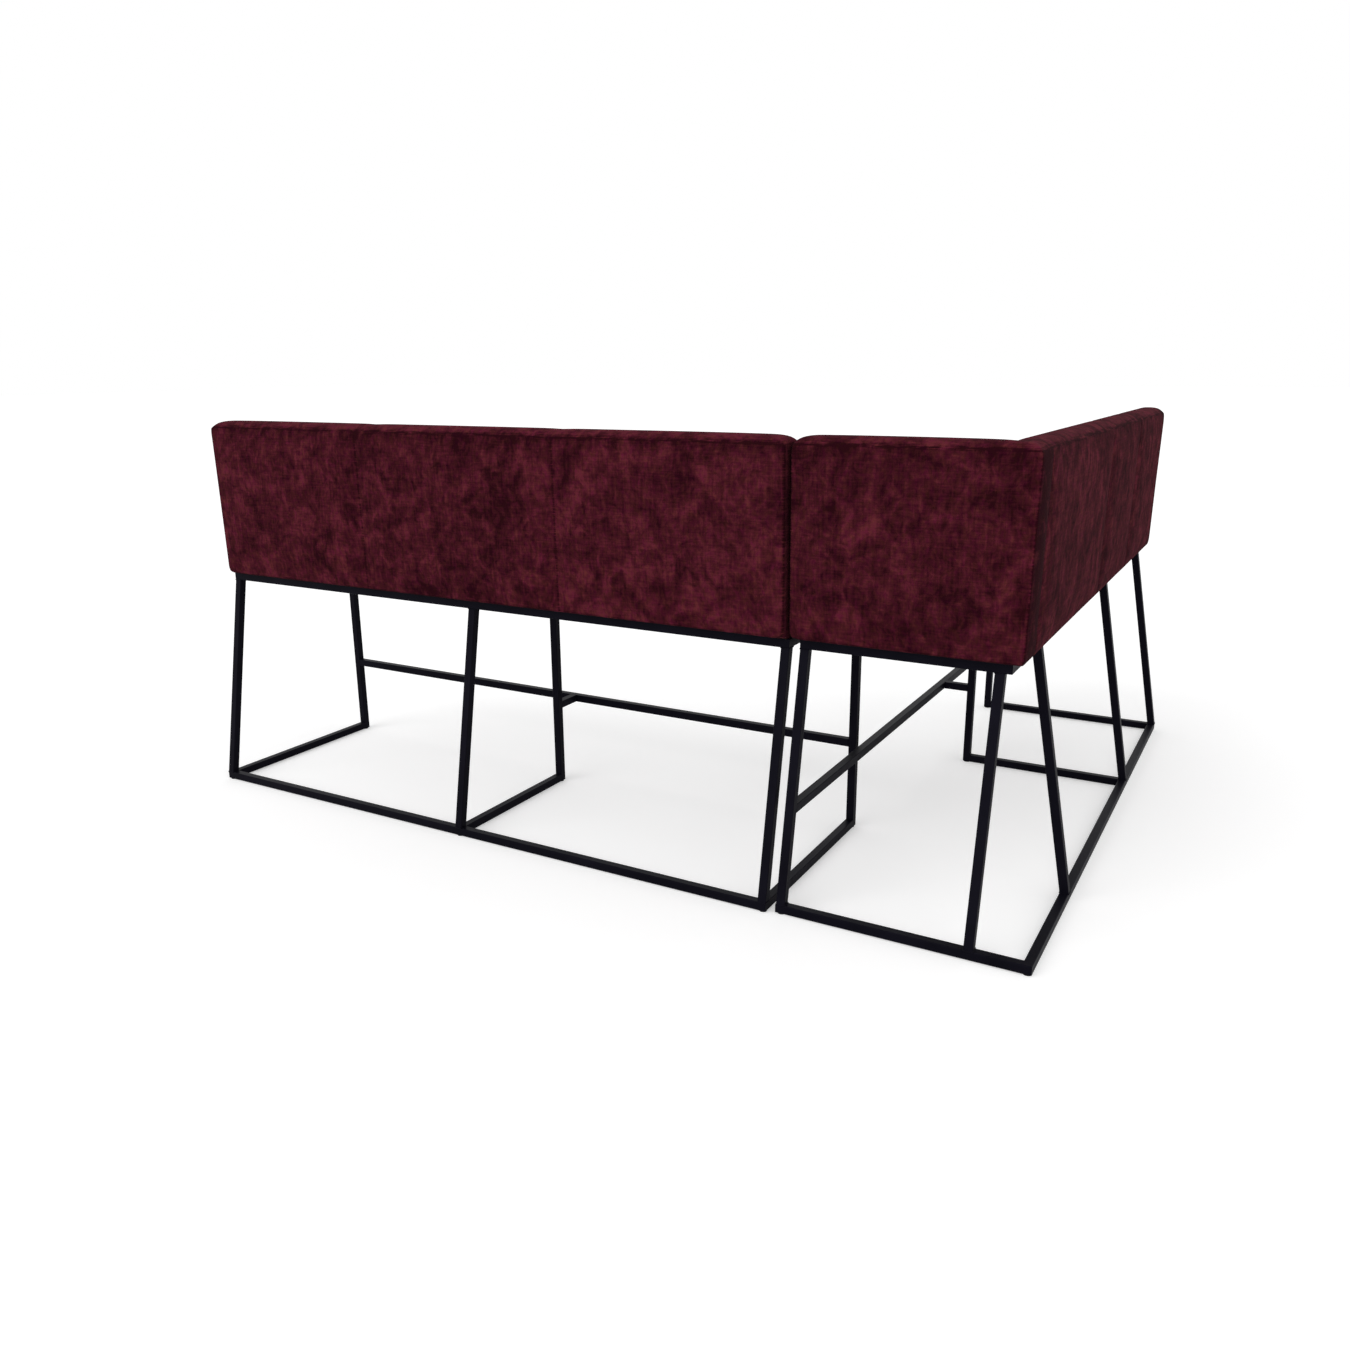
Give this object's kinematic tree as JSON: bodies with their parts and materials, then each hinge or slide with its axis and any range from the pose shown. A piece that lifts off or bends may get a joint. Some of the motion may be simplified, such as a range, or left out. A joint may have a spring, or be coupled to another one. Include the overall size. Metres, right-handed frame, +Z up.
{
  "type": "bar banquette",
  "caption": "L-shaped bar-height banquette: a straight unit and a corner unit with velvet seats and backs on leaning square-tube frames with a footrest.",
  "frame": {"origin": "centre of the bounding box at floor level", "axes": "+X along the straight unit towards the corner unit, +Y from the straight unit's back into the room, +Z up"},
  "size_m": [2.8622, 2.1892, 1.269],
  "materials": {
    "black_frame": "satin black powder coat",
    "velvet": "bordeaux velvet, crushed pile, over foam",
    "plywood": "birch plywood, unfinished",
    "zinc_steel": "zinc plated",
    "black_plastic": "moulded matt",
    "black_lining": "non-woven lining"
  },
  "bodies": {
    "root": {"back_brackets": "zinc_steel", "bracket_screws": "zinc_steel", "corner_bar_plug": "black_plastic", "corner_end_back_board": "plywood", "corner_end_inner_pad": "velvet", "corner_end_outer_pad": "velvet", "corner_end_top_border": "velvet", "corner_far_floor_bar": "black_frame", "corner_far_front_leg": "black_frame", "corner_far_rail": "black_frame", "corner_footrest_bar": "black_frame", "corner_footrest_stub": "black_frame", "corner_front_rail": "black_frame", "corner_lining": "black_lining", "corner_long_back_board": "plywood", "corner_long_inner_pad": "velvet", "corner_long_outer_pad": "velvet", "corner_long_top_border": "velvet", "corner_middle_floor_bar": "black_frame", "corner_middle_front_leg": "black_frame", "corner_middle_rail": "black_frame", "corner_near_floor_bar": "black_frame", "corner_near_left_leg": "black_frame", "corner_near_rail": "black_frame", "corner_near_right_leg": "black_frame", "corner_right_far_leg": "black_frame", "corner_right_floor_bar": "black_frame", "corner_right_middle_leg": "black_frame", "corner_right_near_leg": "black_frame", "corner_right_rail": "black_frame", "corner_seat_board": "plywood", "corner_seat_cushion": "velvet", "floor_glides": "black_plastic", "seat_screws": "zinc_steel", "seat_tabs": "black_frame", "straight_back_board": "plywood", "straight_back_inner_pad": "velvet", "straight_back_outer_pad": "velvet", "straight_back_top_border": "velvet", "straight_footrest_bar": "black_frame", "straight_footrest_stub": "black_frame", "straight_front_rail": "black_frame", "straight_left_floor_bar": "black_frame", "straight_left_front_leg": "black_frame", "straight_left_rail": "black_frame", "straight_left_rear_leg": "black_frame", "straight_lining": "black_lining", "straight_middle_floor_bar": "black_frame", "straight_middle_front_leg": "black_frame", "straight_middle_rail": "black_frame", "straight_middle_rear_leg": "black_frame", "straight_rear_floor_bar": "black_frame", "straight_rear_rail": "black_frame", "straight_right_floor_bar": "black_frame", "straight_right_front_leg": "black_frame", "straight_right_rail": "black_frame", "straight_right_rear_leg": "black_frame", "straight_seat_board": "plywood", "straight_seat_cushion": "velvet"}
  },
  "joints": []
}
